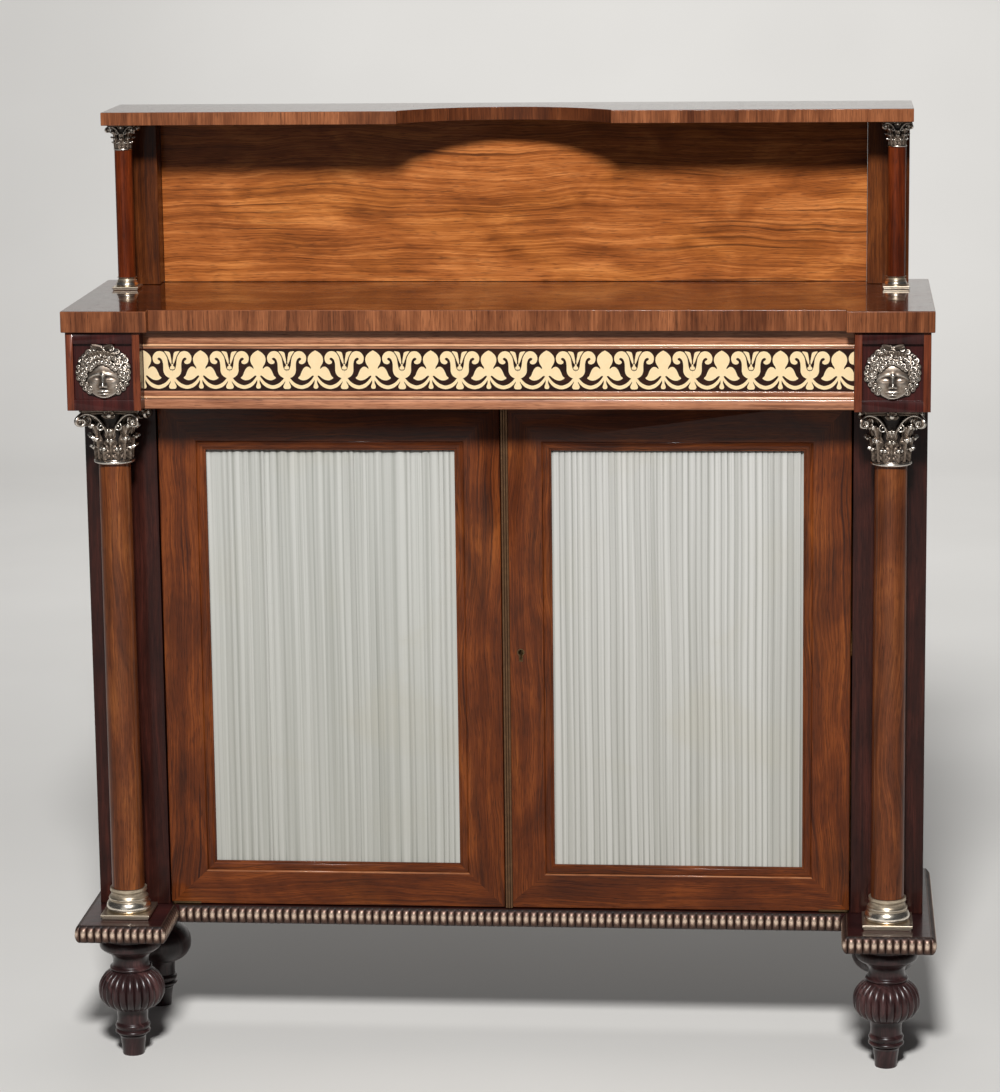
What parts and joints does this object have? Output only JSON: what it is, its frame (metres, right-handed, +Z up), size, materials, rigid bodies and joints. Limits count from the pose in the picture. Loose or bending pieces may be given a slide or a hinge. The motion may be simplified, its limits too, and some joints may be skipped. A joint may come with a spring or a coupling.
{
  "type": "chiffonier",
  "caption": "Breakfront chiffonier with silk-panelled cupboard doors between columns, an inlaid frieze and a raised upper shelf.",
  "frame": {"origin": "on the floor, under the middle of the bounding box", "axes": "+X to the right seen from the front, +Y towards the back, +Z up; the doors face -Y"},
  "size_m": [1.1426, 0.336, 1.26],
  "materials": {
    "rosewood": "french polished, figured, orange-brown with dark streaks",
    "dark_rosewood": "french polished, dark red-brown",
    "ebony": "polished near-black inlay ground",
    "inlay_brass": "polished and softly worn",
    "antique_bronze": "cast, silvery antique patina with dark hollows",
    "polished_brass": "turned and bright polished",
    "gadroon_bronze": "patinated bronze-brown with rubbed crests",
    "secondary_wood": "plain planed wood, waxed",
    "silk": "pleated pale grey-green silk, soft sheen"
  },
  "bodies": {
    "carcase": {"base_platform": "dark_rosewood", "gadroon_centre": "gadroon_bronze", "gadroon_left": "gadroon_bronze", "gadroon_right": "gadroon_bronze", "front_foot_left": "dark_rosewood", "front_foot_right": "dark_rosewood", "rear_foot_left": "dark_rosewood", "rear_foot_right": "dark_rosewood", "column_base_left": "polished_brass", "column_base_right": "polished_brass", "column_shaft_left": "rosewood", "column_shaft_right": "rosewood", "capital_left": "antique_bronze", "capital_right": "antique_bronze", "mask_block_left": "dark_rosewood", "mask_block_right": "dark_rosewood", "mask_left": "antique_bronze", "mask_right": "antique_bronze", "top_slab": "rosewood", "frieze_board": "rosewood", "frieze_inlay_ground": "ebony", "frieze_bead_upper": "rosewood", "frieze_bead_lower": "rosewood", "frieze_brass_inlay": "inlay_brass", "pier_left": "dark_rosewood", "pier_right": "dark_rosewood", "side_panel_left": "rosewood", "side_panel_right": "rosewood", "carcase_back": "secondary_wood", "interior_shelf": "secondary_wood", "dust_board": "secondary_wood", "lower_pin_plate_left": "polished_brass", "lower_pin_plate_right": "polished_brass", "upper_pin_plate_left": "polished_brass", "upper_pin_plate_right": "polished_brass", "upper_back_panel": "rosewood", "pilaster_left": "rosewood", "pilaster_right": "rosewood", "small_base_left": "polished_brass", "small_base_right": "polished_brass", "small_shaft_left": "rosewood", "small_shaft_right": "rosewood", "small_capital_left": "antique_bronze", "small_capital_right": "antique_bronze", "upper_shelf": "rosewood"},
    "door_left": {"door_frame_left": "rosewood", "silk_left": "silk", "lower_eye_plate_left": "polished_brass", "upper_eye_plate_left": "polished_brass", "keeper": "polished_brass"},
    "door_right": {"door_frame_right": "rosewood", "silk_right": "silk", "lower_eye_plate_right": "polished_brass", "upper_eye_plate_right": "polished_brass", "astragal": "inlay_brass", "escutcheon": "polished_brass", "lock_case": "polished_brass"},
    "lock_bolt": {"lock_bolt": "polished_brass"},
    "upper_flush_bolt": {"upper_flush_bolt": "polished_brass"},
    "lower_flush_bolt": {"lower_flush_bolt": "polished_brass"}
  },
  "joints": [
    {"name": "door_left_hinge", "type": "hinge", "parent": "carcase", "child": "door_left", "pos_m": [-0.453, -0.048, 0.54], "axis": [0, 0, -1], "range_deg": [0, 95]},
    {"name": "door_right_hinge", "type": "hinge", "parent": "carcase", "child": "door_right", "pos_m": [0.453, -0.048, 0.54], "axis": [0, 0, 1], "range_deg": [0, 95]},
    {"name": "lock_bolt_slide", "type": "slide", "parent": "door_right", "child": "lock_bolt", "axis": [-1, 0, 0], "range_m": [0, 0.009]},
    {"name": "upper_flush_bolt_slide", "type": "slide", "parent": "door_left", "child": "upper_flush_bolt", "axis": [0, 0, 1], "range_m": [0, 0.01]},
    {"name": "lower_flush_bolt_slide", "type": "slide", "parent": "door_left", "child": "lower_flush_bolt", "axis": [0, 0, -1], "range_m": [0, 0.01]}
  ]
}
